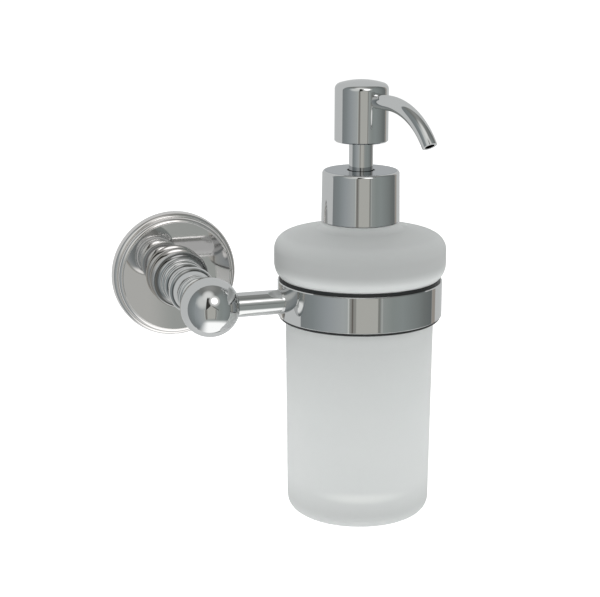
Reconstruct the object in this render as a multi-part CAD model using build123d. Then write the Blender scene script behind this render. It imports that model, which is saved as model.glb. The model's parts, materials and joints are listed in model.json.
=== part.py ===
from build123d import *
import os
from math import cos, radians, sin, sqrt, tan

# Wall mounted soap dispenser. Millimetres, +Z up.
# The origin is the centre of the wall bracket's rear face. The wall is the plane Y = 0, the post
# comes out of it along -Y, and the arm runs along +X from the ball to the bottle's vertical axis.

# ---- driving dimensions ----
REACH = 66.5             # wall to the vertical plane of the ball, arm and bottle
ARM_SPAN = 65.85        # post axis to bottle axis
RUN_GAP = 0.05           # radial clearance of a running or threaded fit

PLATE_R = 28.2           # backplate
PLATE_DEPTH = 8.5
PLATE_WALL = 2.5
PLATE_CAVITY_R = 23.0
BRACKET_R = 22.6         # wall bracket inside the backplate
BRACKET_DEPTH = 5.0
GROOVE_DEPTH = 2.75      # distance from the wall of the bracket's V groove and of the grub screw
WALL_HOLE_SPACING = 28.0
WALL_HOLE_R = 2.5
WALL_HEAD_R = 4.75

BALL_R = 12.5
ARM_R = 5.15
ARM_START = 10.4         # arm's seat in the ball, from the ball's centre
STUD_R = 3.0             # M6 studs
SCREW_R = 2.0            # M4 ring screw

RING_R = 35.0            # holder ring
RING_WALL = 1.8
RING_TOP = 7.65
RING_BOTTOM = -7.65
LINER_BORE_R = 31.9
LINER_LIP_R = 34.3
LINER_LIP_DROP = 1.15

BODY_R = 31.55           # glass bottle at the ring
BASE_R = 30.7
BASE_Z = -95.05
BASE_ROUND = 6.0
BULGE_R = 36.45
BULGE_LOW_Z = 14.9       # centre of the lower rounding
BULGE_LOW_ROUND = 8.0
BULGE_HIGH_Z = 20.75     # centre of the upper rounding
BULGE_HIGH_ROUND = 6.5
SHOULDER_SLOPE = 11.6    # degrees
NECK_R = 12.5
NECK_BORE_R = 10.0
NECK_SEAT_Z = 32.7
NECK_TOP_Z = 49.0
THREAD_PITCH = 4.2
THREAD_HEIGHT = 1.25

FLANGE_Z = 50.1          # underside of the pump flange
FLANGE_R = 12.4
BARREL_R = 8.2
BARREL_BORE_R = 6.9
BARREL_FLOOR_Z = 14.0
SOCKET_END_Z = -4.0
TUBE_R = 2.5
TUBE_BORE_R = 1.8
TUBE_END_Z = -86.5

COLLAR_LOW_R = 16.56
COLLAR_HIGH_R = 16.25
COLLAR_LOW_Z = 33.0
COLLAR_HIGH_Z = 54.3
COLLAR_HOLE_R = 5.9

STEM_R = 3.6
STEM_BORE_R = 1.5
STEM_TOP_Z = 76.0
SLEEVE_R = 5.1
SLEEVE_BORE_R = 4.3
SPRING_WIRE_R = 0.4
SPRING_COIL_R = 5.2
SPRING_TURNS = 5.5
SPRING_LOW_Z = 15.2
SPRING_HIGH_Z = 31.7

HEAD_R = 11.23
HEAD_LOW_Z = 66.4
HEAD_HIGH_Z = 92.0
HEAD_DOME = 1.3          # rise of the domed top above its rounded rim
HEAD_BORE_R = 9.7
SPOUT_R = 3.13
SPOUT_BORE_R = 2.0
SPOUT_Z = 84.15
SPOUT_HEADING = 17.0     # degrees from -Y towards +X
SPOUT_ROOT = 5.0         # from the head's axis to the spout's inner end
SPOUT_STRAIGHT = 18.65   # from the head's axis to the start of the bend
SPOUT_BEND_R = 31.2
SPOUT_BEND = 57.4        # degrees

BOTTLE_AXIS = Pos(ARM_SPAN, -REACH, 0)
FROM_WALL = Rot(90, 0, 0)                       # turns +Z into -Y
ALONG_ARM = Pos(0, -REACH, 0) * Rot(0, 90, 0)   # turns +Z into +X, through the ball's centre


# ---- helpers ----
def outline(start, *steps):
    """Closed face from straight steps (x, y) and arc steps ((mid), (end))."""
    edges = []
    here = start
    for step in steps:
        if isinstance(step[0], tuple):
            edges.append(ThreePointArc(here, step[0], step[1]))
            here = step[1]
        else:
            edges.append(Line(here, step))
            here = step
    if here != start:
        edges.append(Line(here, start))
    return make_face(edges)


def turned(start, *steps):
    """Solid of revolution about Z from an outline of (radius, height) points."""
    return revolve(Plane.XZ * outline(start, *steps), Axis.Z)


def rod(radius, low, high):
    """Solid cylinder about Z from one height to another."""
    return Pos(0, 0, low) * Cylinder(radius, high - low, align=(Align.CENTER, Align.CENTER, Align.MIN))


def pipe(outer, inner, low, high):
    """Hollow cylinder about Z."""
    return turned((inner, low), (outer, low), (outer, high), (inner, high))


def arc_point(centre, radius, angle):
    """Point on a circle, with the angle in degrees from the outward direction."""
    return (centre[0] + radius * cos(radians(angle)), centre[1] + radius * sin(radians(angle)))


def hex_socket(across_flats, depth):
    """Hexagonal recess about Z, down from Z = 0."""
    return extrude(RegularPolygon(across_flats / sqrt(3), 6), -depth)


def thread_ridge(root, crest, base_width, pitch, turns, start_z):
    """Right-hand helical ridge with a tapered section, from the root radius to the crest radius."""
    crest_width = base_width / 2
    middle = (root + crest) / 2
    reach = (crest - root) / 2
    path = Helix(pitch=pitch, height=pitch * turns, radius=middle)
    section = Polygon(
        (-reach, -base_width / 2),
        (reach, -crest_width / 2),
        (reach, crest_width / 2),
        (-reach, base_width / 2),
        align=None,
    )
    seat = Plane(origin=path @ 0, x_dir=(1, 0, 0), z_dir=path % 0)
    ridge = sweep(seat * section, path=path, is_frenet=True)
    return Pos(0, 0, start_z) * ridge


# ---- wall side ----
def wall_bracket():
    """Disc screwed to the wall, with a V groove in its edge for the grub screw."""
    half_groove = 1.2
    pocket_r = 7.5
    pocket_floor = 2.0
    disc = turned(
        (0, 0),
        (BRACKET_R, 0),
        (BRACKET_R, GROOVE_DEPTH - half_groove),
        (BRACKET_R - half_groove, GROOVE_DEPTH),
        (BRACKET_R, GROOVE_DEPTH + half_groove),
        (BRACKET_R, BRACKET_DEPTH - 0.4),
        (BRACKET_R - 0.4, BRACKET_DEPTH),
        (pocket_r, BRACKET_DEPTH),
        (pocket_r, pocket_floor),
        (0, pocket_floor),
    )
    for side in (-1, 1):
        place = Pos(0, side * WALL_HOLE_SPACING / 2, 0)
        disc -= place * rod(WALL_HOLE_R, -1, BRACKET_DEPTH + 1)
        disc -= place * rod(WALL_HEAD_R, BRACKET_DEPTH / 2, BRACKET_DEPTH + 1)
    return FROM_WALL * disc


def backplate():
    """Hollow rosette: ovolo rim, groove, bead, and a flat face."""
    face_inside = PLATE_DEPTH - PLATE_WALL
    shell = turned(
        (PLATE_CAVITY_R, 0),
        (PLATE_R - 0.3, 0),
        (PLATE_R, 0.3),
        (PLATE_R, 2.4),
        ((27.85, 4.1), (26.7, 5.2)),
        (26.35, 5.2),
        (26.25, 5.6),
        ((25.95, 7.2), (24.95, 8.0)),
        (24.7, 8.05),
        (24.45, PLATE_DEPTH),
        (STUD_R + 0.3, PLATE_DEPTH),
        (STUD_R + 0.3, face_inside),
        (PLATE_CAVITY_R, face_inside),
    )
    grub_hole = Pos(0, -GROOVE_DEPTH, -PLATE_R - 1) * Cylinder(
        1.5 + RUN_GAP, 8, align=(Align.CENTER, Align.CENTER, Align.MIN)
    )
    return FROM_WALL * shell - grub_hole


def bracket_grub_screw():
    """M3 socket set screw, pointing up into the bracket's V groove."""
    outer_end = -PLATE_R + 0.4
    tip = -BRACKET_R + 0.5
    screw = turned(
        (0, outer_end),
        (1.3, outer_end),
        (1.5, outer_end + 0.2),
        (1.5, tip - 0.9),
        (0.5, tip),
        (0, tip),
    )
    screw -= Pos(0, 0, outer_end) * Rot(180, 0, 0) * hex_socket(1.5, 1.6)
    return Pos(0, -GROOVE_DEPTH, 0) * screw


def post_screw():
    """M6 cap screw from inside the backplate into the post."""
    seat = PLATE_DEPTH - PLATE_WALL
    head_r = 5.0
    head_low = seat - 3.2
    end = 19.0
    screw = turned(
        (0, head_low),
        (head_r - 0.4, head_low),
        (head_r, head_low + 0.4),
        (head_r, seat),
        (STUD_R, seat),
        (STUD_R, end - 0.6),
        (STUD_R - 0.6, end),
        (0, end),
    )
    screw -= Pos(0, 0, head_low) * Rot(180, 0, 0) * hex_socket(4.0, 2.0)
    return FROM_WALL * screw


def post():
    """Turned post: base drum, cavetto, two beads, ring, coves, thin ring and the ball's collar."""
    seat = PLATE_DEPTH
    solid = turned(
        (0, seat),
        (12.4, seat),
        (12.6, seat + 0.3),
        ((13.25, 12.3), (12.45, 16.0)),
        (12.1, 16.3),
        (11.7, 16.3),
        ((10.1, 17.3), (9.4, 19.3)),
        ((10.15, 20.8), (9.4, 22.3)),
        (8.9, 22.6),
        (8.9, 23.3),
        ((9.75, 24.9), (8.9, 26.5)),
        (8.5, 26.9),
        ((7.95, 30.0), (8.6, 33.2)),
        (9.4, 33.6),
        ((10.3, 35.4), (9.5, 37.4)),
        (8.9, 37.9),
        ((7.95, 41.9), (8.5, 45.8)),
        ((9.15, 46.9), (8.5, 48.0)),
        ((8.15, 49.4), (9.2, 50.9)),
        ((9.85, 52.2), (9.2, 53.5)),
        (8.3, 54.2),
        (8.3, 60.0),
        (0, 60.0),
    )
    solid -= Pos(0, 0, REACH) * Sphere(BALL_R)
    solid -= rod(STUD_R + RUN_GAP, seat - 1, 21.0)
    solid -= rod(STUD_R + RUN_GAP, 43.0, 61.0)
    return FROM_WALL * solid


def post_stud():
    """M6 stud between the post and the ball."""
    return FROM_WALL * threaded_stud(43.5, REACH - 3.8)


def threaded_stud(low, high):
    """Chamfered M6 stud about Z."""
    edge = 0.5
    return turned(
        (0, low),
        (STUD_R - edge, low),
        (STUD_R, low + edge),
        (STUD_R, high - edge),
        (STUD_R - edge, high),
        (0, high),
    )


def ball_end():
    """Ball with a tapped hole to the post, and a seat and a tapped hole to the arm."""
    ball = Pos(0, -REACH, 0) * Rot(0, 0, 225) * Sphere(BALL_R)
    ball -= FROM_WALL * rod(STUD_R + RUN_GAP, REACH - BALL_R - 1, REACH - 3.5)
    ball -= ALONG_ARM * rod(ARM_R, ARM_START, BALL_R + 1)
    ball -= ALONG_ARM * rod(STUD_R + RUN_GAP, 4.0, BALL_R)
    return ball


def arm_stud():
    """M6 stud between the ball and the arm."""
    return ALONG_ARM * threaded_stud(4.3, 21.0)


def arm():
    """Round bar from the ball to the holder ring, saddled to the ring."""
    bar = rod(ARM_R, ARM_START, ARM_SPAN - RING_R + 3)
    bar -= rod(STUD_R + RUN_GAP, ARM_START - 1, 21.5)
    bar -= rod(SCREW_R + RUN_GAP, 24.0, ARM_SPAN - RING_R + 4)
    return ALONG_ARM * bar - BOTTLE_AXIS * rod(RING_R, -10, 10)


def ring_screw():
    """M4 countersunk screw from inside the ring into the arm."""
    head_r = 3.8
    head_end = ARM_SPAN - RING_R + RING_WALL - 0.05
    screw = turned(
        (0, 24.5),
        (SCREW_R - 0.4, 24.5),
        (SCREW_R, 24.9),
        (SCREW_R, head_end - 1.5),
        (head_r, head_end),
        (0, head_end),
    )
    screw -= Pos(0, 0, head_end) * hex_socket(2.5, 1.4)
    return ALONG_ARM * screw


def holder_ring():
    """Plain band with broken edges, countersunk for the ring screw."""
    inner = RING_R - RING_WALL
    edge = 0.35
    band = turned(
        (inner, RING_BOTTOM),
        (RING_R - edge, RING_BOTTOM),
        (RING_R, RING_BOTTOM + edge),
        (RING_R, RING_TOP - edge),
        (RING_R - edge, RING_TOP),
        (inner, RING_TOP),
    )
    inside = ARM_SPAN - inner
    head_r = 3.8 + RUN_GAP
    countersink = turned(
        (0, inside - 4),
        (SCREW_R + RUN_GAP, inside - 4),
        (SCREW_R + RUN_GAP, inside - 1.55),
        (head_r, inside - 0.05),
        (head_r, inside + 2),
        (0, inside + 2),
    )
    return BOTTLE_AXIS * band - ALONG_ARM * countersink


def ring_liner():
    """Soft liner snapped over both edges of the ring; its upper lip cups the bottle's bulge."""
    wall_r = RING_R - RING_WALL - RUN_GAP
    seat_gap = 0.2
    cup = BULGE_LOW_ROUND + seat_gap
    centre = (BULGE_R - BULGE_LOW_ROUND, BULGE_LOW_Z)

    def cup_point(radius):
        return (radius, centre[1] - sqrt(cup**2 - (radius - centre[0]) ** 2))

    lip_low = RING_TOP + RUN_GAP
    liner = turned(
        (LINER_BORE_R, RING_BOTTOM - LINER_LIP_DROP),
        (LINER_LIP_R - 0.3, RING_BOTTOM - LINER_LIP_DROP),
        (LINER_LIP_R, RING_BOTTOM - LINER_LIP_DROP + 0.3),
        (LINER_LIP_R, RING_BOTTOM - RUN_GAP),
        (wall_r, RING_BOTTOM - RUN_GAP),
        (wall_r, lip_low),
        (LINER_LIP_R, lip_low),
        cup_point(LINER_LIP_R),
        (cup_point((LINER_LIP_R + LINER_BORE_R) / 2), cup_point(LINER_BORE_R)),
    )
    return BOTTLE_AXIS * liner


# ---- bottle ----
def glass_bottle():
    """Thick glass tumbler with a rounded bulge above the ring and a threaded neck."""
    low_centre = (BULGE_R - BULGE_LOW_ROUND, BULGE_LOW_Z)
    high_centre = (BULGE_R - BULGE_HIGH_ROUND, BULGE_HIGH_Z)
    under_z = BULGE_LOW_Z - sqrt(BULGE_LOW_ROUND**2 - (BODY_R - low_centre[0]) ** 2)
    shoulder = arc_point(high_centre, BULGE_HIGH_ROUND, 90 - SHOULDER_SLOPE)
    fillet_r = 19.6
    fillet_z = shoulder[1] + (shoulder[0] - fillet_r) * tan(radians(SHOULDER_SLOPE))
    base_centre = (BASE_R - BASE_ROUND, BASE_Z + BASE_ROUND)
    outer = turned(
        (0, BASE_Z + 0.8),
        (16.0, BASE_Z + 0.8),
        (20.0, BASE_Z),
        (base_centre[0], BASE_Z),
        (arc_point(base_centre, BASE_ROUND, -45), (BASE_R, base_centre[1])),
        (BODY_R, RING_BOTTOM - 1),
        (BODY_R, under_z),
        (arc_point(low_centre, BULGE_LOW_ROUND, -29), (BULGE_R, BULGE_LOW_Z)),
        (BULGE_R, BULGE_HIGH_Z),
        (arc_point(high_centre, BULGE_HIGH_ROUND, 39), shoulder),
        (fillet_r, fillet_z),
        ((17.35, fillet_z + 0.95), (16.35, NECK_SEAT_Z)),
        (NECK_R, NECK_SEAT_Z),
        (NECK_R, NECK_TOP_Z - 0.3),
        (NECK_R - 0.3, NECK_TOP_Z),
        (0, NECK_TOP_Z),
    )
    inner_r = 28.2
    floor_z = -89.2
    hollow = turned(
        (0, floor_z),
        (23.5, floor_z),
        ((26.6, -87.9), (27.7, -84.9)),
        (inner_r, 3.0),
        ((28.9, 7.0), (30.9, 10.5)),
        ((32.7, 17.3), (30.3, 22.4)),
        ((29.0, 23.4), (27.2, 23.9)),
        (13.4, 26.6),
        ((10.9, 27.6), (NECK_BORE_R, 29.9)),
        (NECK_BORE_R, NECK_TOP_Z + 1),
        (0, NECK_TOP_Z + 1),
    )
    ridge = thread_ridge(NECK_R - 0.2, NECK_R + THREAD_HEIGHT, 1.6, THREAD_PITCH, 1.5, 38.0)
    return BOTTLE_AXIS * (outer - hollow + ridge)


# ---- pump body ----
def neck_gasket():
    """Flat washer between the neck and the pump flange."""
    return BOTTLE_AXIS * pipe(NECK_R - 0.2, BARREL_R + 0.1, NECK_TOP_Z + 0.1, FLANGE_Z)


def pump_housing():
    """Barrel with a flange, a ball seat and a socket for the dip tube."""
    flange_top = FLANGE_Z + 1.4
    seat_z = 7.0
    chamber_r = 2.75
    chamber_z = 8.6
    return BOTTLE_AXIS * turned(
        (BARREL_BORE_R, flange_top),
        (FLANGE_R, flange_top),
        (FLANGE_R, FLANGE_Z),
        (BARREL_R, FLANGE_Z),
        (BARREL_R, BARREL_FLOOR_Z - 1),
        (5.2, 10.0),
        (5.2, 6.5),
        (4.3, 5.0),
        (4.3, SOCKET_END_Z),
        (TUBE_R, SOCKET_END_Z),
        (TUBE_R, seat_z - 1.5),
        (1.4, seat_z - 1.5),
        (1.4, seat_z),
        (chamber_r, chamber_z),
        (chamber_r, BARREL_FLOOR_Z),
        (BARREL_BORE_R, BARREL_FLOOR_Z),
    )


def inlet_cage():
    """Notched washer on the barrel's floor that keeps the inlet ball in and carries the spring."""
    cage = pipe(BARREL_BORE_R - RUN_GAP, 1.5, BARREL_FLOOR_Z, SPRING_LOW_Z)
    for turn in range(4):
        slot = Pos(2.2, 0, BARREL_FLOOR_Z + 0.6) * Box(2.6, 1.2, 3)
        cage -= Rot(0, 0, 90 * turn) * slot
    return BOTTLE_AXIS * cage


def inlet_ball():
    """Lower check valve ball, on its seat."""
    return BOTTLE_AXIS * Pos(0, 0, 9.75) * Sphere(2.3)


def housing_retainer():
    """Sleeve in the top of the barrel that guides the stem and stops the piston."""
    web_low = 38.4
    web_high = 40.4
    flange_low = FLANGE_Z + 1.4
    bore_r = 5.3
    return BOTTLE_AXIS * turned(
        (STEM_R + RUN_GAP, web_low),
        (BARREL_BORE_R - 0.02, web_low),
        (BARREL_BORE_R - 0.02, flange_low),
        (10.4, flange_low),
        (10.4, flange_low + 0.6),
        (bore_r, flange_low + 0.6),
        (bore_r, web_high),
        (STEM_R + RUN_GAP, web_high),
    )


def dip_tube():
    """Straight tube from the housing's socket to just above the bottle's floor, cut at a slant."""
    tube = pipe(TUBE_R - 0.02, TUBE_BORE_R, TUBE_END_Z, 5.3)
    cutter = Pos(0, 0, TUBE_END_Z) * Rot(0, 35, 0) * Pos(0, 0, -5) * Box(20, 20, 10)
    return BOTTLE_AXIS * (tube - cutter)


def return_spring():
    """Open compression spring between the inlet cage and the stem's foot."""
    wire = SPRING_WIRE_R
    low = SPRING_LOW_Z + wire + 0.05
    high = SPRING_HIGH_Z - wire - 0.05
    path = Helix(pitch=(high - low) / SPRING_TURNS, height=high - low, radius=SPRING_COIL_R)
    section = Plane(origin=path @ 0, z_dir=path % 0) * Circle(wire)
    return BOTTLE_AXIS * Pos(0, 0, low) * sweep(section, path=path, is_frenet=True)


# ---- collar ----
def collar_shell():
    """Chrome cover of the cap, slightly tapered, with a rounded top edge."""
    skin = 0.8
    edge = 1.3
    centre = (COLLAR_HIGH_R - edge, COLLAR_HIGH_Z - edge)
    return BOTTLE_AXIS * turned(
        (COLLAR_LOW_R - skin, COLLAR_LOW_Z),
        (COLLAR_LOW_R, COLLAR_LOW_Z),
        (COLLAR_HIGH_R, COLLAR_HIGH_Z - edge),
        (arc_point(centre, edge, 45), (COLLAR_HIGH_R - edge, COLLAR_HIGH_Z)),
        (COLLAR_HOLE_R, COLLAR_HIGH_Z),
        (COLLAR_HOLE_R, COLLAR_HIGH_Z - skin),
        (COLLAR_HIGH_R - 2.2, COLLAR_HIGH_Z - skin),
        (COLLAR_HIGH_R - skin, COLLAR_HIGH_Z - 2.2),
    )


def collar_insert():
    """Plastic screw cap inside the shell, with an inner thread that matches the neck."""
    bore_r = NECK_R + THREAD_HEIGHT + 0.2
    web_low = FLANGE_Z + 2.05
    top = COLLAR_HIGH_Z - 0.85
    outer = COLLAR_HIGH_R - 0.9
    cap = turned(
        (bore_r, COLLAR_LOW_Z + 0.4),
        (outer, COLLAR_LOW_Z + 0.4),
        (outer, top - 1.4),
        (outer - 1.4, top),
        (COLLAR_HOLE_R - 0.3, top),
        (COLLAR_HOLE_R - 0.3, web_low),
        (bore_r, web_low),
    )
    ridge = thread_ridge(bore_r + 0.2, NECK_R + 0.2, 1.6, THREAD_PITCH, 1.25, 38.0 - THREAD_PITCH / 2)
    return BOTTLE_AXIS * (cap + ridge)


# ---- plunger ----
def piston_stem():
    """Hollow stem with a foot for the spring and a seat for the outlet ball."""
    foot_r = 6.2
    foot_top = SPRING_HIGH_Z + 1.5
    seat_z = 69.5
    chamber_r = 2.3
    return BOTTLE_AXIS * turned(
        (STEM_BORE_R, SPRING_HIGH_Z),
        (foot_r, SPRING_HIGH_Z),
        (foot_r, foot_top),
        (STEM_R, foot_top),
        (STEM_R, STEM_TOP_Z),
        (chamber_r, STEM_TOP_Z),
        (chamber_r, seat_z + 0.8),
        (STEM_BORE_R, seat_z),
    )


def piston_seal():
    """Seal with two lips, between the stem's foot and the retainer."""
    low = SPRING_HIGH_Z + 1.5
    high = 38.2
    lip_r = BARREL_BORE_R - RUN_GAP
    waist_r = BARREL_BORE_R - 0.9
    return BOTTLE_AXIS * turned(
        (STEM_R, low),
        (waist_r, low),
        (lip_r, low + 0.2),
        (lip_r, low + 1.2),
        (waist_r, low + 1.8),
        (waist_r, high - 1.8),
        (lip_r, high - 1.2),
        (lip_r, high - 0.2),
        (waist_r, high),
        (STEM_R, high),
    )


def outlet_ball():
    """Upper check valve ball, on its seat in the stem."""
    return BOTTLE_AXIS * Pos(0, 0, 71.6) * Sphere(1.9)


# ---- head ----
def spout_frame():
    """Plane through the head's axis in which the spout lies: local X outwards, local Y up."""
    heading = radians(SPOUT_HEADING)
    outwards = (sin(heading), -cos(heading), 0)
    return Plane(origin=(0, 0, 0), x_dir=outwards, z_dir=(-cos(heading), -sin(heading), 0))


def spout_path(start):
    """Straight run out of the head, then an arc down to the tip."""
    bend = radians(SPOUT_BEND)
    centre_z = SPOUT_Z - SPOUT_BEND_R
    straight = Line((start, SPOUT_Z), (SPOUT_STRAIGHT, SPOUT_Z))
    middle = (SPOUT_STRAIGHT + SPOUT_BEND_R * sin(bend / 2), centre_z + SPOUT_BEND_R * cos(bend / 2))
    end = (SPOUT_STRAIGHT + SPOUT_BEND_R * sin(bend), centre_z + SPOUT_BEND_R * cos(bend))
    curve = ThreePointArc((SPOUT_STRAIGHT, SPOUT_Z), middle, end)
    return spout_frame() * Wire([straight, curve])


def along_spout(radius, start):
    """Round bar along the spout's path."""
    path = spout_path(start)
    section = Plane(origin=path @ 0, z_dir=path % 0) * Circle(radius)
    return sweep(section, path=path)


def side_bore(radius, start, end):
    """Straight round bar at the spout's height and heading, from one distance to another."""
    base = spout_frame() * Plane(origin=(start, SPOUT_Z, 0), z_dir=(1, 0, 0))
    return extrude(base * Circle(radius), end - start)


def spout():
    """Bent tube with an open tip."""
    tube = along_spout(SPOUT_R, SPOUT_ROOT) - along_spout(SPOUT_BORE_R, SPOUT_ROOT)
    return BOTTLE_AXIS * tube


def rod_sleeve():
    """Bright sleeve over the stem, from the head down into the collar."""
    return BOTTLE_AXIS * pipe(SLEEVE_R, SLEEVE_BORE_R, COLLAR_HIGH_Z - 2, HEAD_LOW_Z + 5.6)


def head_insert():
    """Plastic carrier inside the head: sockets for the sleeve, stem and spout, and the channel."""
    low = HEAD_LOW_Z + 0.8
    top = 88.0
    outer = HEAD_BORE_R - RUN_GAP
    body = turned((0, low), (outer, low), (outer, top - 1.3), (outer - 1.3, top), (0, top))
    body -= rod(SLEEVE_R + 0.02, low - 1, HEAD_LOW_Z + 5.7)
    body -= rod(STEM_R + RUN_GAP, low, STEM_TOP_Z + 0.2)
    body -= rod(1.7, STEM_TOP_Z, SPOUT_Z)
    body -= side_bore(1.7, 0, SPOUT_ROOT + 1)
    body -= side_bore(SPOUT_R + 0.02, SPOUT_ROOT - 0.05, HEAD_R + 2)
    return BOTTLE_AXIS * body


def pump_head():
    """Chrome cap over the insert, with a hole for the spout."""
    edge = 2.6
    centre = (HEAD_R - edge, HEAD_HIGH_Z - HEAD_DOME - edge)
    rim = arc_point(centre, edge, 74)
    inner_top = 88.1
    cap = turned(
        (HEAD_BORE_R, HEAD_LOW_Z),
        (HEAD_R - 0.5, HEAD_LOW_Z),
        (HEAD_R, HEAD_LOW_Z + 0.5),
        (HEAD_R, centre[1]),
        (arc_point(centre, edge, 37), rim),
        ((rim[0] / 2, HEAD_HIGH_Z - (HEAD_HIGH_Z - rim[1]) / 4), (0.4, HEAD_HIGH_Z)),
        (0, HEAD_HIGH_Z),
        (0, inner_top),
        (HEAD_BORE_R - 1.2, inner_top),
        (HEAD_BORE_R, inner_top - 1.2),
    )
    cap -= side_bore(SPOUT_R + 0.02, HEAD_R - 4, HEAD_R + 2)
    return BOTTLE_AXIS * cap


NODES = {
    "wall_bracket": wall_bracket,
    "backplate": backplate,
    "bracket_grub_screw": bracket_grub_screw,
    "post_screw": post_screw,
    "post": post,
    "post_stud": post_stud,
    "ball_end": ball_end,
    "arm_stud": arm_stud,
    "arm": arm,
    "ring_screw": ring_screw,
    "holder_ring": holder_ring,
    "ring_liner": ring_liner,
    "glass_bottle": glass_bottle,
    "neck_gasket": neck_gasket,
    "pump_housing": pump_housing,
    "inlet_cage": inlet_cage,
    "inlet_ball": inlet_ball,
    "housing_retainer": housing_retainer,
    "dip_tube": dip_tube,
    "return_spring": return_spring,
    "collar_shell": collar_shell,
    "collar_insert": collar_insert,
    "piston_stem": piston_stem,
    "piston_seal": piston_seal,
    "outlet_ball": outlet_ball,
    "head_insert": head_insert,
    "rod_sleeve": rod_sleeve,
    "pump_head": pump_head,
    "spout": spout,
}

os.makedirs("parts", exist_ok=True)
for name, make in NODES.items():
    export_step(make(), f"parts/{name}.step")
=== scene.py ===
import json
import math

import bmesh
import bpy
from mathutils import Matrix, Vector


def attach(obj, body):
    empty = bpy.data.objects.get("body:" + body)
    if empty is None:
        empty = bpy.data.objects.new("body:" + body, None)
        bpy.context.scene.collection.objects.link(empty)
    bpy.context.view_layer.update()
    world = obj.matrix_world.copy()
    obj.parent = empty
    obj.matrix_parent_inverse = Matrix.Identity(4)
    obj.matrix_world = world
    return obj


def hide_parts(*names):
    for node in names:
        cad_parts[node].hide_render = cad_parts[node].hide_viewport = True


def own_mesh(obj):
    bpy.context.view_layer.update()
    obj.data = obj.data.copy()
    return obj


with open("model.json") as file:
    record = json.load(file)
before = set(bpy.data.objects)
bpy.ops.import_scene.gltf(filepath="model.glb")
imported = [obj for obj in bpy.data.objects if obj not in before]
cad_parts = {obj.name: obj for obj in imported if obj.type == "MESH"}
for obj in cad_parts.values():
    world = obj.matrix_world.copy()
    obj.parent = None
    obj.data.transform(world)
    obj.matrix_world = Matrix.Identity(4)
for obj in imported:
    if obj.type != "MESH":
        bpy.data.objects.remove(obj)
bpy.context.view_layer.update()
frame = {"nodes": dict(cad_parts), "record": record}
scene = bpy.context.scene

# ---- camera: metres, degrees, and the lens in millimetres on a 36 mm sensor ----
CAMERA_PLACE = (-0.16334, -0.69838, 0.16800)
CAMERA_AZIMUTH = -17.77
CAMERA_ELEVATION = 14.15
CAMERA_ROLL = 0.10
CAMERA_LENS = 97.33

FLOOR_Z = -1.1           # the object hangs on a wall, so the floor is far below
FLOOR_SIZE = 14.0


# ---- small node helpers ----
def add_node(tree, kind, **settings):
    node = tree.nodes.new(kind)
    for name, value in settings.items():
        setattr(node, name, value)
    return node


def link(tree, source, target):
    tree.links.new(source, target)


def maths(tree, operation, first, second=None):
    """A Math node; its inputs are sockets or numbers."""
    node = add_node(tree, "ShaderNodeMath", operation=operation)
    for place, value in enumerate((first, second)):
        if value is None:
            continue
        if isinstance(value, (int, float)):
            node.inputs[place].default_value = value
        else:
            link(tree, value, node.inputs[place])
    return node.outputs[0]


def ramp(tree, factor, stops):
    """A colour ramp with (position, (r, g, b)) stops."""
    node = add_node(tree, "ShaderNodeValToRGB")
    elements = node.color_ramp.elements
    while len(elements) < len(stops):
        elements.new(1.0)
    for element, (position, colour) in zip(elements, stops):
        element.position = position
        element.color = (*colour, 1.0)
    link(tree, factor, node.inputs[0])
    return node.outputs[0]


def mix_colour(tree, factor, low, high):
    """A colour mix; factor, low and high are sockets or values."""
    node = add_node(tree, "ShaderNodeMix", data_type="RGBA")
    for place, value in ((0, factor), (6, low), (7, high)):
        if isinstance(value, bpy.types.NodeSocket):
            link(tree, value, node.inputs[place])
        elif isinstance(value, (int, float)):
            node.inputs[place].default_value = value
        else:
            node.inputs[place].default_value = (*value, 1.0)
    return node.outputs[2]


def linear(grey):
    """Scene brightness of an 8-bit display value."""
    share = grey / 255.0
    return ((share + 0.055) / 1.055) ** 2.4 if share > 0.04045 else share / 12.92


# ---- camera ----
def make_camera():
    azimuth = math.radians(CAMERA_AZIMUTH)
    elevation = math.radians(CAMERA_ELEVATION)
    roll = math.radians(CAMERA_ROLL)
    flat = math.cos(elevation)
    back = Vector((math.sin(azimuth) * flat, -math.cos(azimuth) * flat, math.sin(elevation)))
    right = Vector((math.cos(azimuth), math.sin(azimuth), 0.0))
    up = back.cross(right)
    rolled_right = right * math.cos(roll) + up * math.sin(roll)
    rolled_up = up * math.cos(roll) - right * math.sin(roll)
    data = bpy.data.cameras.new("camera")
    data.lens = CAMERA_LENS
    data.sensor_width = 36.0
    camera = bpy.data.objects.new("camera", data)
    scene.collection.objects.link(camera)
    turn = Matrix((rolled_right, rolled_up, back)).transposed()
    camera.matrix_world = Matrix.Translation(CAMERA_PLACE) @ turn.to_4x4()
    scene.camera = camera


# ---- studio ----
# Directions in the room are in degrees: azimuth from the camera's side, positive to its right, and
# elevation. Colours are 8-bit display values as chrome shows them.
METAL_REFLECTANCE = 0.66
# panels all round, as (azimuth, colour)
ROOM_BANDS = (
    (-95, (112, 116, 117)),
    (-70, (120, 126, 127)),
    (-46, (139, 144, 146)),
    (-24, (152, 156, 156)),
    (-13, (150, 154, 152)),
    (26, (138, 142, 140)),
    (45, (125, 131, 129)),
    (60, (126, 132, 131)),
    (88, (113, 118, 117)),
    (100, (104, 108, 107)),
    (118, (95, 99, 99)),
)
# upright lines below the camera's height, as (azimuth, width, colour)
FRONT_LINES = (
    (-11.0, 9.0, (132, 132, 128)),
    (-17.0, 1.8, (178, 180, 177)),
    (-11.5, 2.2, (94, 90, 86)),
    (25.5, 3.4, (118, 119, 115)),
    (29.5, 2.0, (154, 156, 154)),
)
BACKDROP = (178, 180, 180)
BACKDROP_LOW = (190, 192, 192)
CEILING = (112, 114, 112)
ZENITH = (132, 133, 131)
LAMP_BRIGHTNESS = 2.6

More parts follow.
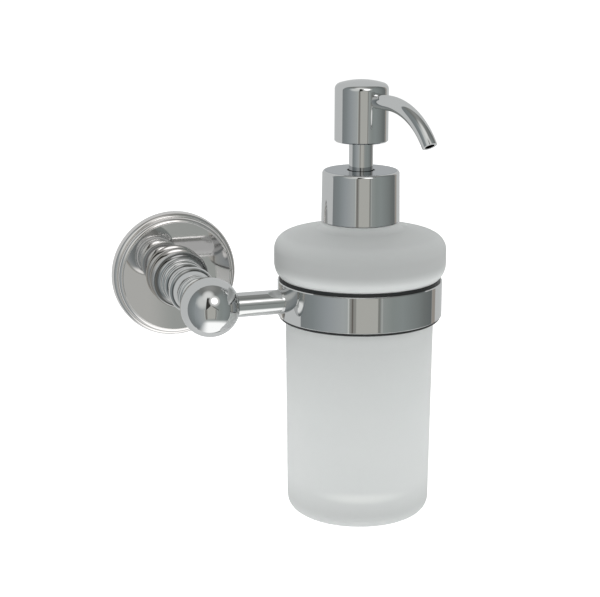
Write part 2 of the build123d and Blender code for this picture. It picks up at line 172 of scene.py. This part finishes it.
# round lights and glows: azimuth and elevation of the centre
LAMP = (24, 36)
WALL_GLOW = (-28, 32)
CEILING_STREAK = (-8, 57)
LAMP_HALO_COLOUR = (196, 196, 194)
WALL_GLOW_COLOUR = (192, 194, 192)
CEILING_STREAK_COLOUR = (206, 207, 205)

# the camera's table, the dark gap left of it, and a brown strip far to the right
GAP_COLOUR = (50, 50, 47)
TABLE_FRONT_COLOUR = (163, 163, 158)
ROOF_EDGE_COLOUR = (92, 92, 89)
TABLE_TOP_COLOUR = (250, 251, 250)
SIDE_STRIP_COLOUR = (141, 136, 130)
BACKGROUND_WHITE = 1.05  # just over white, so that the picture's border stays white too

# what lights the matt surfaces: (share of the way up, brightness)
SOFT_LIGHT = ((0.0, 1.45), (0.25, 1.14), (0.47, 0.99), (0.62, 0.96), (1.0, 0.94))
FRONT_LIGHT = 0.60


def shown(colour):
    """Room colour that chrome shows as the given display colour."""
    return tuple(linear(channel) / METAL_REFLECTANCE for channel in colour)


def smooth_step(tree, value, low, high):
    """0 below low, 1 above high. With low above high it falls instead."""
    node = add_node(tree, "ShaderNodeMapRange", interpolation_type="SMOOTHSTEP")
    link(tree, value, node.inputs[0])
    node.inputs[1].default_value = min(low, high)
    node.inputs[2].default_value = max(low, high)
    if low > high:
        node.inputs[3].default_value = 1.0
        node.inputs[4].default_value = 0.0
    return node.outputs[0]


def product(tree, *masks):
    result = masks[0]
    for mask in masks[1:]:
        result = maths(tree, "MULTIPLY", result, mask)
    return result


def window(tree, value, low, high, soft):
    """1 between low and high, fading over soft at both ends."""
    half = soft / 2
    return product(
        tree,
        smooth_step(tree, value, low - half, low + half),
        smooth_step(tree, value, high + half, high - half),
    )


def slope(tree, across, at, height, rise):
    """Height of a slanted line through (at, height) that rises by rise per degree."""
    return maths(tree, "ADD", maths(tree, "MULTIPLY", across, rise), height - at * rise)


def cone(tree, direction, azimuth, elevation, inner, outer):
    """1 within inner degrees of a direction, 0 beyond outer degrees."""
    flat = math.cos(math.radians(elevation))
    turned = math.radians(azimuth + CAMERA_AZIMUTH)
    axis = (math.sin(turned) * flat, -math.cos(turned) * flat, math.sin(math.radians(elevation)))
    dot = add_node(tree, "ShaderNodeVectorMath", operation="DOT_PRODUCT")
    link(tree, direction, dot.inputs[0])
    dot.inputs[1].default_value = axis
    outer_share = math.cos(math.radians(outer))
    inner_share = math.cos(math.radians(inner))
    return smooth_step(tree, dot.outputs["Value"], outer_share, inner_share)


def room_colour(tree, direction):
    """What polished metal sees: grey panels, a lamp, a white table below and a pale backdrop behind."""
    turn = add_node(tree, "ShaderNodeVectorRotate", rotation_type="Z_AXIS")
    link(tree, direction, turn.inputs["Vector"])
    turn.inputs["Angle"].default_value = -math.radians(CAMERA_AZIMUTH)
    parts = add_node(tree, "ShaderNodeSeparateXYZ")
    link(tree, turn.outputs[0], parts.inputs[0])
    right, depth, up = parts.outputs
    towards = maths(tree, "MULTIPLY", depth, -1.0)
    azimuth = maths(tree, "DEGREES", maths(tree, "ARCTAN2", right, towards))
    elevation = maths(tree, "DEGREES", maths(tree, "ARCSINE", up))

    share = maths(tree, "ADD", maths(tree, "DIVIDE", azimuth, 360.0), 0.5)
    room = ramp(tree, share, [((angle + 180) / 360, shown(colour)) for angle, colour in ROOM_BANDS])

    # a soft glow high on the left panel, and the dim ceiling with a lit streak
    room = mix_colour(tree, cone(tree, direction, *WALL_GLOW, 2, 32), room, shown(WALL_GLOW_COLOUR))
    room = mix_colour(tree, smooth_step(tree, elevation, 46, 60), room, shown(CEILING))
    room = mix_colour(tree, smooth_step(tree, elevation, 62, 86), room, shown(ZENITH))
    streak = cone(tree, direction, *CEILING_STREAK, 4, 26)
    room = mix_colour(tree, streak, room, shown(CEILING_STREAK_COLOUR))

    # the lit front of the camera's table, shaped like a gable, in front of a dark gap
    left_roof = slope(tree, azimuth, -10, 3, 0.95)
    right_roof = slope(tree, azimuth, 8, 20, -0.75)
    over_left = maths(tree, "SUBTRACT", elevation, left_roof)
    over_right = maths(tree, "SUBTRACT", elevation, right_roof)
    gap = product(
        tree,
        window(tree, azimuth, -12.5, 5, 3),
        smooth_step(tree, over_left, -1.5, 1.5),
        smooth_step(tree, elevation, 53, 45),
    )
    room = mix_colour(tree, gap, room, shown(GAP_COLOUR))
    gable = product(
        tree,
        window(tree, azimuth, -9.5, 26, 1.5),
        smooth_step(tree, over_left, 1.0, -1.0),
        smooth_step(tree, over_right, 1.0, -1.0),
        smooth_step(tree, elevation, -36, -28),
    )
    room = mix_colour(tree, gable, room, shown(TABLE_FRONT_COLOUR))
    roof_edge = product(tree, window(tree, azimuth, 12, 36, 2), window(tree, over_right, -1, 3, 2.5))
    room = mix_colour(tree, roof_edge, room, shown(ROOF_EDGE_COLOUR))
    low_front = window(tree, elevation, -34, 3, 3)
    for angle, width, colour in FRONT_LINES:
        line = window(tree, azimuth, angle - width / 2, angle + width / 2, 1.0)
        room = mix_colour(tree, product(tree, line, low_front), room, shown(colour))

    # the white table below, which fades out to the left
    down = maths(tree, "MAXIMUM", maths(tree, "MULTIPLY", up, -1.0), 0.01)
    across = maths(tree, "DIVIDE", right, down)
    along = maths(tree, "DIVIDE", towards, down)
    table = product(
        tree,
        smooth_step(tree, across, -0.58, -0.05),
        smooth_step(tree, elevation, -35, -52),
        smooth_step(tree, along, -0.30, -0.18),
    )
    room = mix_colour(tree, table, room, shown(TABLE_TOP_COLOUR))

    # the backdrop behind the object, and the lamp with its halo
    front = cone(tree, direction, 13.5, 0, 104.0, 105.4)
    backdrop = mix_colour(tree, smooth_step(tree, elevation, -20, -60), shown(BACKDROP), shown(BACKDROP_LOW))
    room = mix_colour(tree, front, backdrop, room)
    strip = product(
        tree,
        window(tree, azimuth, 119, 129, 2),
        window(tree, elevation, -40, 30, 10),
    )
    room = mix_colour(tree, strip, room, shown(SIDE_STRIP_COLOUR))
    room = mix_colour(tree, cone(tree, direction, *LAMP, 13, 24), room, shown(LAMP_HALO_COLOUR))
    lamp = cone(tree, direction, *LAMP, 9, 14)
    return mix_colour(tree, lamp, room, (LAMP_BRIGHTNESS,) * 3)


def make_world():
    """Soft white room for the diffuse light, with its own look in reflections."""
    world = bpy.data.worlds.new("studio")
    scene.world = world
    world.use_nodes = True
    tree = world.node_tree
    tree.nodes.clear()
    direction = add_node(tree, "ShaderNodeTexCoord").outputs["Generated"]
    parts = add_node(tree, "ShaderNodeSeparateXYZ")
    link(tree, direction, parts.inputs[0])
    height = maths(tree, "ADD", maths(tree, "MULTIPLY", parts.outputs[2], 0.5), 0.5)
    soft = ramp(tree, height, [(level, (grey, grey, grey)) for level, grey in SOFT_LIGHT])
    dim_front = cone(tree, direction, 0, 35, 15, 75)
    soft = mix_colour(tree, dim_front, soft, (FRONT_LIGHT,) * 3)
    paths = add_node(tree, "ShaderNodeLightPath")
    lit = mix_colour(tree, paths.outputs["Is Glossy Ray"], soft, room_colour(tree, direction))
    seen = mix_colour(tree, paths.outputs["Is Camera Ray"], lit, (BACKGROUND_WHITE,) * 3)
    background = add_node(tree, "ShaderNodeBackground")
    link(tree, seen, background.inputs[0])
    output = add_node(tree, "ShaderNodeOutputWorld")
    link(tree, background.outputs[0], output.inputs[0])


def make_floor():
    """Plain pale floor, far below the wall mounted object."""
    half = FLOOR_SIZE / 2
    mesh = bpy.data.meshes.new("floor")
    corners = [(x * half, y * half, FLOOR_Z) for x, y in ((-1, -1), (1, -1), (1, 1), (-1, 1))]
    mesh.from_pydata(corners, [], [(0, 1, 2, 3)])
    floor = bpy.data.objects.new("floor", mesh)
    scene.collection.objects.link(floor)
    floor.visible_glossy = False
    material = bpy.data.materials.new("floor_pale")
    material.use_nodes = True
    shader = material.node_tree.nodes["Principled BSDF"]
    shader.inputs["Base Color"].default_value = (0.95, 0.95, 0.95, 1.0)
    shader.inputs["Roughness"].default_value = 0.9
    shader.inputs["Emission Color"].default_value = (1.0, 1.0, 1.0, 1.0)
    shader.inputs["Emission Strength"].default_value = 0.5
    mesh.materials.append(material)


# ---- materials ----
def new_material(name):
    material = bpy.data.materials.new(name)
    material.use_nodes = True
    tree = material.node_tree
    return material, tree, tree.nodes["Principled BSDF"]


def object_noise(tree, scale, detail=3.0, roughness=0.5, stretch=(1.0, 1.0, 1.0)):
    """Noise in object space, in cycles per metre."""
    place = add_node(tree, "ShaderNodeTexCoord").outputs["Object"]
    mapping = add_node(tree, "ShaderNodeMapping")
    mapping.inputs["Scale"].default_value = stretch
    link(tree, place, mapping.inputs[0])
    noise = add_node(tree, "ShaderNodeTexNoise")
    noise.inputs["Scale"].default_value = scale
    noise.inputs["Detail"].default_value = detail
    noise.inputs["Roughness"].default_value = roughness
    link(tree, mapping.outputs[0], noise.inputs["Vector"])
    return noise.outputs["Fac"]


def value_range(tree, factor, low, high, from_low=0.3, from_high=0.7):
    node = add_node(tree, "ShaderNodeMapRange")
    link(tree, factor, node.inputs[0])
    node.inputs[1].default_value = from_low
    node.inputs[2].default_value = from_high
    node.inputs[3].default_value = low
    node.inputs[4].default_value = high
    return node.outputs[0]


def add_bump(tree, shader, height, strength, distance):
    bump = add_node(tree, "ShaderNodeBump")
    bump.inputs["Strength"].default_value = strength
    bump.inputs["Distance"].default_value = distance
    link(tree, height, bump.inputs["Height"])
    link(tree, bump.outputs[0], shader.inputs["Normal"])


# base colours of the chrome, which are the METAL_REFLECTANCE that the room is made for, and of the
# plate, which is brighter and warmer
CHROME_COLOURS = ((0.648, 0.652, 0.656), (0.672, 0.672, 0.668))
PLATE_COLOURS = ((0.763, 0.738, 0.730), (0.784, 0.759, 0.747))
CHROME_EDGE = 0.90       # keeps the metal's rim from brightening
COLLAR_TOP = 0.0542      # metres; what is above it is the collar's flat top
# painted shade on the collar's flat top, for the dark that it mirrors
COLLAR_TOP_SHADE = (0.50, 0.53, 0.57)
# painted shade in the post's grooves and over its base drum, for the shade in the coves and the dark they
# mirror: (distance from the wall and half width in millimetres, share by which it is darker)
POST_GROOVE_PAINTED_SHADE = (
    (8.6, 0.4, 0.60),
    (12.2, 3.8, 0.22),
    (16.5, 0.6, 0.70),
    (18.4, 0.5, 0.35),
    (22.9, 0.6, 0.80),
    (26.8, 0.5, 0.75),
    (33.3, 0.5, 0.65),
    (37.8, 0.5, 0.70),
    (48.6, 0.5, 0.65),
    (54.1, 0.5, 0.60),
)


def chrome(name="chrome_plate", colours=CHROME_COLOURS):
    """Bright chrome plate with faint wipe marks in its colour and gloss."""
    material, tree, shader = new_material(name)
    shader.inputs["Metallic"].default_value = 1.0
    shader.inputs["Specular Tint"].default_value = (CHROME_EDGE, CHROME_EDGE, CHROME_EDGE, 1.0)
    wipes = object_noise(tree, 60.0, 4.0, 0.6, (1.0, 1.0, 0.35))
    link(tree, mix_colour(tree, wipes, *colours), shader.inputs["Base Color"])
    link(tree, value_range(tree, wipes, 0.02, 0.055), shader.inputs["Roughness"])
    return material


def shaded(tree, shader, shade):
    """Multiplies the base colour by a shade."""
    mixed = add_node(tree, "ShaderNodeMix", data_type="RGBA", blend_type="MULTIPLY")
    mixed.inputs[0].default_value = 1.0
    link(tree, shader.inputs["Base Color"].links[0].from_socket, mixed.inputs[6])
    link(tree, shade, mixed.inputs[7])
    link(tree, mixed.outputs[2], shader.inputs["Base Color"])


def chrome_with_painted_groove_shade():
    """Chrome with painted shade: darker lines in the grooves between the post's rings, and a darker base
    drum.
    """
    material = chrome("chrome_post")
    tree = material.node_tree
    shader = tree.nodes["Principled BSDF"]
    parts = add_node(tree, "ShaderNodeSeparateXYZ")
    link(tree, add_node(tree, "ShaderNodeTexCoord").outputs["Object"], parts.inputs[0])
    out = maths(tree, "MULTIPLY", parts.outputs[1], -1000.0)
    # painted shade of all the grooves, multiplied together into the base colour
    painted_groove_shade = None
    for place, half, depth in POST_GROOVE_PAINTED_SHADE:
        distance = maths(tree, "ABSOLUTE", maths(tree, "SUBTRACT", out, place))
        shade = value_range(tree, distance, 1.0 - depth, 1.0, half * 0.35, half)
        painted_groove_shade = shade if painted_groove_shade is None else maths(tree, "MULTIPLY", painted_groove_shade, shade)
    shaded(tree, shader, painted_groove_shade)
    return material


def chrome_with_painted_top_shade():
    """Chrome whose flat top has painted shade in its base colour, for the dark of the room above it that the
    top mirrors.
    """
    material = chrome("chrome_collar")
    tree = material.node_tree
    parts = add_node(tree, "ShaderNodeSeparateXYZ")
    link(tree, add_node(tree, "ShaderNodeTexCoord").outputs["Object"], parts.inputs[0])
    top = smooth_step(tree, parts.outputs[2], COLLAR_TOP, COLLAR_TOP + 0.00008)
    shaded(tree, tree.nodes["Principled BSDF"], mix_colour(tree, top, (1.0, 1.0, 1.0), COLLAR_TOP_SHADE))
    return material


GLASS_LOW = -0.0960
GLASS_HIGH = 0.0340
# (height in metres, shade); painted light and shade by height, darker just below the ring, in the bulge and
# at the base, lightest low on the body, as the photo shows it
GLASS_PAINTED_SHADES = (
    (-0.0960, 0.72),
    (-0.0920, 0.75),
    (-0.0875, 0.77),
    (-0.0835, 0.83),
    (-0.0780, 0.89),
    (-0.0610, 0.90),
    (-0.0460, 0.88),
    (-0.0310, 0.84),
    (-0.0164, 0.79),
    (-0.0090, 0.82),
    (0.0085, 0.85),
    (0.0120, 0.84),
    (0.0140, 0.70),
    (0.0160, 0.61),
    (0.0205, 0.61),
    (0.0235, 0.70),
    (0.0262, 0.80),
    (0.0300, 0.81),
    (0.0335, 0.84),
)
# a painted highlight in the glass's colour: the lit corner of the soap space's floor, seen through the wall
GLASS_GLINT = (0.0570, -0.0968, -0.0806)
GLASS_GLINT_SIZE = (64.0, 64.0, 520.0)


def frosted_glass():
    """Acid-etched thick glass: milky, with a fine grain, with painted light and shade by height and a
    painted highlight near the bottom.
    """
    material, tree, shader = new_material("frosted_glass")
    place = add_node(tree, "ShaderNodeTexCoord").outputs["Object"]
    parts = add_node(tree, "ShaderNodeSeparateXYZ")
    link(tree, place, parts.inputs[0])
    level = value_range(tree, parts.outputs[2], 0.0, 1.0, GLASS_LOW, GLASS_HIGH)
    span = GLASS_HIGH - GLASS_LOW
    # painted light and shade by height
    shade = ramp(tree, level, [((z - GLASS_LOW) / span, (grey,) * 3) for z, grey in GLASS_PAINTED_SHADES])
    cloud = object_noise(tree, 35.0, 3.0)
    tint = mix_colour(tree, cloud, (0.955, 0.99, 0.98), (0.975, 1.0, 0.99))
    tinted = add_node(tree, "ShaderNodeMix", data_type="RGBA", blend_type="MULTIPLY")
    tinted.inputs[0].default_value = 1.0
    link(tree, shade, tinted.inputs[6])
    link(tree, tint, tinted.inputs[7])
    # painted highlight: a bright patch round the glint's place
    offset = add_node(tree, "ShaderNodeVectorMath", operation="SUBTRACT")
    link(tree, place, offset.inputs[0])
    offset.inputs[1].default_value = GLASS_GLINT
    scaled = add_node(tree, "ShaderNodeVectorMath", operation="MULTIPLY")
    link(tree, offset.outputs[0], scaled.inputs[0])
    scaled.inputs[1].default_value = GLASS_GLINT_SIZE
    reach = add_node(tree, "ShaderNodeVectorMath", operation="LENGTH")
    link(tree, scaled.outputs[0], reach.inputs[0])
    glint = smooth_step(tree, reach.outputs["Value"], 1.6, 0.2)
    link(tree, mix_colour(tree, glint, tinted.outputs[2], (0.97, 1.0, 0.98)), shader.inputs["Base Color"])
    grain = object_noise(tree, 2600.0, 2.0, 0.7)
    link(tree, value_range(tree, grain, 0.50, 0.62), shader.inputs["Roughness"])
    shader.inputs["IOR"].default_value = 1.5
    shader.inputs["Transmission Weight"].default_value = 0.25
    shader.inputs["Subsurface Weight"].default_value = 0.20
    shader.inputs["Subsurface Radius"].default_value = (0.002, 0.0021, 0.002)
    shader.inputs["Subsurface Scale"].default_value = 1.0
    add_bump(tree, shader, grain, 0.15, 0.00005)
    return material


def black_rubber():
    material, tree, shader = new_material("black_rubber")
    mottle = object_noise(tree, 400.0, 4.0)
    black = mix_colour(tree, mottle, (0.010, 0.011, 0.012), (0.020, 0.021, 0.022))
    link(tree, black, shader.inputs["Base Color"])
    link(tree, value_range(tree, mottle, 0.35, 0.55), shader.inputs["Roughness"])
    add_bump(tree, shader, mottle, 0.2, 0.00005)
    return material


def steel(name, dark, bright, rough, stretch):
    """Plain steel with fine drawn or turned marks along one direction."""
    material, tree, shader = new_material(name)
    shader.inputs["Metallic"].default_value = 1.0
    marks = object_noise(tree, 900.0, 3.0, 0.6, stretch)
    link(tree, mix_colour(tree, marks, dark, bright), shader.inputs["Base Color"])
    link(tree, value_range(tree, marks, rough, rough + 0.15), shader.inputs["Roughness"])
    add_bump(tree, shader, marks, 0.15, 0.00003)
    return material


def plastic(name, low, high, rough, milky=0.0):
    """Moulded plastic with a faint flow mottle and a fine mould texture."""
    material, tree, shader = new_material(name)
    flow = object_noise(tree, 70.0, 3.0)
    link(tree, mix_colour(tree, flow, low, high), shader.inputs["Base Color"])
    fine = object_noise(tree, 1500.0, 2.0)
    link(tree, value_range(tree, fine, rough, rough + 0.12), shader.inputs["Roughness"])
    shader.inputs["Transmission Weight"].default_value = milky
    add_bump(tree, shader, fine, 0.1, 0.00003)
    return material


def dress(nodes, material):
    """Gives CAD nodes a material."""
    for name in nodes:
        piece = frame["nodes"][name]
        piece.data.materials.clear()
        piece.data.materials.append(material)


def dress_frame():
    chrome_nodes = (
        "ball_end",
        "arm",
        "holder_ring",
        "rod_sleeve",
        "pump_head",
        "spout",
    )
    dress(chrome_nodes, chrome())
    dress(("collar_shell",), chrome_with_painted_top_shade())
    dress(("glass_bottle",), frosted_glass())
    dress(("ring_liner",), black_rubber())
    zinc = steel("bracket_zinc", (0.50, 0.51, 0.52), (0.66, 0.67, 0.68), 0.30, (1.0, 1.0, 0.05))
    dress(("wall_bracket",), zinc)
    fasteners = ("bracket_grub_screw", "post_screw", "post_stud", "arm_stud", "ring_screw")
    satin = steel("screw_satin", (0.42, 0.43, 0.44), (0.58, 0.59, 0.60), 0.25, (1.0, 1.0, 1.0))
    dress(fasteners, satin)
    bright = steel("spring_bright", (0.60, 0.61, 0.62), (0.74, 0.75, 0.76), 0.12, (1.0, 1.0, 1.0))
    dress(("inlet_ball", "outlet_ball"), bright)
    make_spring(bright)
    white = plastic("white_moulding", (0.80, 0.80, 0.79), (0.86, 0.86, 0.85), 0.38)
    mouldings = (
        "pump_housing",
        "housing_retainer",
        "inlet_cage",
        "collar_insert",
        "head_insert",
        "piston_stem",
    )
    dress(mouldings, white)
    tube = plastic("milky_tube", (0.78, 0.80, 0.79), (0.84, 0.86, 0.85), 0.30, 0.4)
    dress(("dip_tube",), tube)
    soft = plastic("seal_soft", (0.70, 0.70, 0.67), (0.76, 0.76, 0.73), 0.55)
    dress(("neck_gasket", "piston_seal"), soft)


# ---- turned pieces ----
# Outlines hold (radius, distance from the wall) in millimetres. A step with two points is an arc
# through the first of them to the second.
TURNED_SIDES = 192
ARC_STEPS = 10
EDGE = 0.10              # how far a sharp corner is broken
SHARPEST_SMOOTH = 18     # degrees; a corner that turns less than this stays as it is

# the grub screw's hole in the plate's underside, in metres
GRUB_HOLE_RADIUS = 0.00155
GRUB_HOLE_PLACE = (0.0, -0.00275, -0.0260)
GRUB_HOLE_LENGTH = 0.0100

PLATE_OUTLINE = (
    (23.0, 0.0),
    (27.9, 0.0),
    (28.19, 0.3),
    (28.19, 2.4),
    ((27.85, 4.1), (26.7, 5.2)),
    (26.35, 5.2),
    (26.25, 5.6),
    ((25.95, 7.2), (24.95, 8.0)),
    (24.7, 8.05),
    (24.45, 8.5),
    (3.3, 8.5),
    (3.3, 6.0),
    (23.0, 6.0),
)
POST_OUTLINE = (
    (0.0, 21.0),
    (3.05, 21.0),
    (3.05, 8.5),
    (12.4, 8.5),
    (12.6, 8.8),
    ((13.25, 12.3), (12.45, 16.0)),
    (12.1, 16.3),
    (11.7, 16.3),
    ((10.1, 17.3), (9.4, 19.3)),
    ((10.15, 20.8), (9.4, 22.3)),
    (8.9, 22.6),
    (8.9, 23.3),
    ((9.75, 24.9), (8.9, 26.5)),
    (8.5, 26.9),
    ((7.95, 30.0), (8.6, 33.2)),
    (9.4, 33.6),
    ((10.3, 35.4), (9.5, 37.4)),
    (8.9, 37.9),
    ((7.95, 41.9), (8.5, 45.8)),
    ((9.15, 46.9), (8.5, 48.0)),
    ((8.15, 49.4), (9.2, 50.9)),
    ((9.85, 52.2), (9.2, 53.5)),
    (8.3, 54.2),
    (8.3, 57.15),
    ((5.7, 55.37), (3.05, 54.37)),
    (3.05, 43.0),
    (0.0, 43.0),
)


def arc_points(first, middle, last, steps):
    """Points after first on the circle through three points."""
    (ax, ay), (bx, by), (cx, cy) = first, middle, last
    turn = 2 * (ax * (by - cy) + bx * (cy - ay) + cx * (ay - by))
    a2, b2, c2 = ax * ax + ay * ay, bx * bx + by * by, cx * cx + cy * cy
    x = (a2 * (by - cy) + b2 * (cy - ay) + c2 * (ay - by)) / turn
    y = (a2 * (cx - bx) + b2 * (ax - cx) + c2 * (bx - ax)) / turn
    radius = math.hypot(ax - x, ay - y)
    start = math.atan2(ay - y, ax - x)
    sweep = (math.atan2(cy - y, cx - x) - start) % (2 * math.pi)
    inside = (math.atan2(by - y, bx - x) - start) % (2 * math.pi)
    if inside > sweep:
        sweep -= 2 * math.pi
    angles = [start + sweep * (step + 1) / steps for step in range(steps)]
    return [(x + radius * math.cos(angle), y + radius * math.sin(angle)) for angle in angles]


def traced(outline):
    """Outline with its arcs as short straight steps."""
    points = [outline[0]]
    for step in outline[1:]:
        if isinstance(step[0], tuple):
            points += arc_points(points[-1], step[0], step[1], ARC_STEPS)
        else:
            points.append(step)
    return points


def softened(points, closed):
    """The same outline with each sharp corner rounded over EDGE."""
    result = []
    for index, here in enumerate(points):
        if not closed and index in (0, len(points) - 1):
            result.append(here)
            continue
        corner = Vector(here)
        before = Vector(points[index - 1]) - corner
        after = Vector(points[(index + 1) % len(points)]) - corner
        if before.angle(-after) < math.radians(SHARPEST_SMOOTH):
            result.append(here)
            continue
        enter = corner + before.normalized() * min(EDGE, before.length * 0.4)
        leave = corner + after.normalized() * min(EDGE, after.length * 0.4)
        for share in (0.0, 0.25, 0.5, 0.75, 1.0):
            towards = enter.lerp(corner, share).lerp(corner.lerp(leave, share), share)
            result.append(tuple(towards))
    return result


def smooth_piece(name, vertices, faces):
    """Smooth shaded object whose faces all look outward."""
    mesh = bpy.data.meshes.new(name)
    mesh.from_pydata(vertices, [], faces)
    shell = bmesh.new()
    shell.from_mesh(mesh)
    bmesh.ops.recalc_face_normals(shell, faces=shell.faces)
    shell.to_mesh(mesh)
    shell.free()
    mesh.shade_smooth()
    piece = bpy.data.objects.new(name, mesh)
    scene.collection.objects.link(piece)
    return piece


def turned_piece(name, outline, closed):
    """Mesh turned about the post's axis, which runs out from the wall."""
    points = softened(traced(outline), closed)
    vertices = []
    rings = []
    for radius, out in points:
        count = TURNED_SIDES if radius > 0 else 1
        rings.append([len(vertices) + side for side in range(count)])
        for side in range(count):
            angle = 2 * math.pi * side / TURNED_SIDES
            across = radius * math.cos(angle) / 1000
            up = radius * math.sin(angle) / 1000
            vertices.append((across, -out / 1000, up))
    pairs = list(zip(rings, rings[1:] + rings[:1])) if closed else list(zip(rings, rings[1:]))
    faces = []
    for low, high in pairs:
        for side in range(TURNED_SIDES):
            following = (side + 1) % TURNED_SIDES
            corners = [low[side % len(low)], low[following % len(low)]]
            corners += [high[following % len(high)], high[side % len(high)]]
            faces.append(tuple(dict.fromkeys(corners)))
    return smooth_piece(name, vertices, faces)


def even_shading(piece):
    """Broad faces set the shading, and the rounded corners follow them."""
    modifier = piece.modifiers.new("even_shading", "WEIGHTED_NORMAL")
    modifier.weight = 100


def drill(piece, radius, centre, length):
    """Cuts a vertical hole, in metres."""
    mesh = bpy.data.meshes.new("drill")
    cutter = bmesh.new()
    place = Matrix.Translation(centre)
    bmesh.ops.create_cone(
        cutter, cap_ends=True, segments=32, radius1=radius, radius2=radius, depth=length, matrix=place
    )
    cutter.to_mesh(mesh)
    cutter.free()
    tool = bpy.data.objects.new("drill", mesh)
    scene.collection.objects.link(tool)
    cut = piece.modifiers.new("cut", "BOOLEAN")
    cut.operation = "DIFFERENCE"
    cut.solver = "EXACT"
    cut.object = tool
    bpy.context.view_layer.update()
    seen = piece.evaluated_get(bpy.context.evaluated_depsgraph_get())
    piece_mesh = bpy.data.meshes.new_from_object(seen)
    piece.modifiers.clear()
    piece.data = piece_mesh
    bpy.data.objects.remove(tool)


def stand_in(piece, node, material):
    """The piece is shown in place of a CAD node."""
    piece.data.materials.clear()
    piece.data.materials.append(material)
    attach(piece, body_of_node(node))
    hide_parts(node)


def body_of_node(node):
    groups = frame["record"]["behaviour"]["bodies"]
    return next(body for body, members in groups.items() if node in members)


def make_turned_pieces():
    plate = turned_piece("plate_turned", PLATE_OUTLINE, closed=True)
    drill(plate, GRUB_HOLE_RADIUS, GRUB_HOLE_PLACE, GRUB_HOLE_LENGTH)
    even_shading(plate)
    warm = chrome("chrome_plate_face", PLATE_COLOURS)
    stand_in(plate, "backplate", warm)
    post = turned_piece("post_turned", POST_OUTLINE, closed=False)
    even_shading(post)
    stand_in(post, "post", chrome_with_painted_groove_shade())


# ---- spring ----
SPRING_AXIS = (0.06585, -0.0665)
SPRING_LOW = 0.01565
SPRING_HIGH = 0.03125
SPRING_RADIUS = 0.0052
SPRING_WIRE = 0.0004
SPRING_OPEN_TURNS = 5.0
SPRING_END_TURNS = 1.0
SPRING_STEPS = 36
SPRING_SIDES = 10


def make_spring(material):
    """Coil spring with closed ends, for the return spring that shortens as the pump is pressed; this builds
    it at one length.
    """
    end_rise = 2.1 * SPRING_WIRE * SPRING_END_TURNS
    turns = SPRING_OPEN_TURNS + 2 * SPRING_END_TURNS
    count = int(turns * SPRING_STEPS)
    vertices = []
    for index in range(count + 1):
        turn = index / SPRING_STEPS
        if turn < SPRING_END_TURNS:
            height = end_rise * turn / SPRING_END_TURNS
        elif turn > turns - SPRING_END_TURNS:
            height = SPRING_HIGH - SPRING_LOW - end_rise * (turns - turn) / SPRING_END_TURNS
        else:
            share = (turn - SPRING_END_TURNS) / SPRING_OPEN_TURNS
            height = end_rise + share * (SPRING_HIGH - SPRING_LOW - 2 * end_rise)
        angle = 2 * math.pi * turn
        for side in range(SPRING_SIDES):
            around = 2 * math.pi * side / SPRING_SIDES
            radius = SPRING_RADIUS + SPRING_WIRE * math.cos(around)
            x = SPRING_AXIS[0] + radius * math.cos(angle)
            y = SPRING_AXIS[1] + radius * math.sin(angle)
            vertices.append((x, y, SPRING_LOW + height + SPRING_WIRE * math.sin(around)))
    faces = [tuple(range(SPRING_SIDES)), tuple(range(count * SPRING_SIDES, (count + 1) * SPRING_SIDES))]
    for index in range(count):
        for side in range(SPRING_SIDES):
            following = (side + 1) % SPRING_SIDES
            low, high = index * SPRING_SIDES, (index + 1) * SPRING_SIDES
            faces.append((low + side, low + following, high + following, high + side))
    spring = smooth_piece("coil_spring", vertices, faces)
    stand_in(spring, "return_spring", material)
    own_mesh(spring)


def set_view():
    scene.view_settings.view_transform = "Standard"
    scene.view_settings.look = "None"


make_camera()
make_world()
make_floor()
dress_frame()
make_turned_pieces()
set_view()
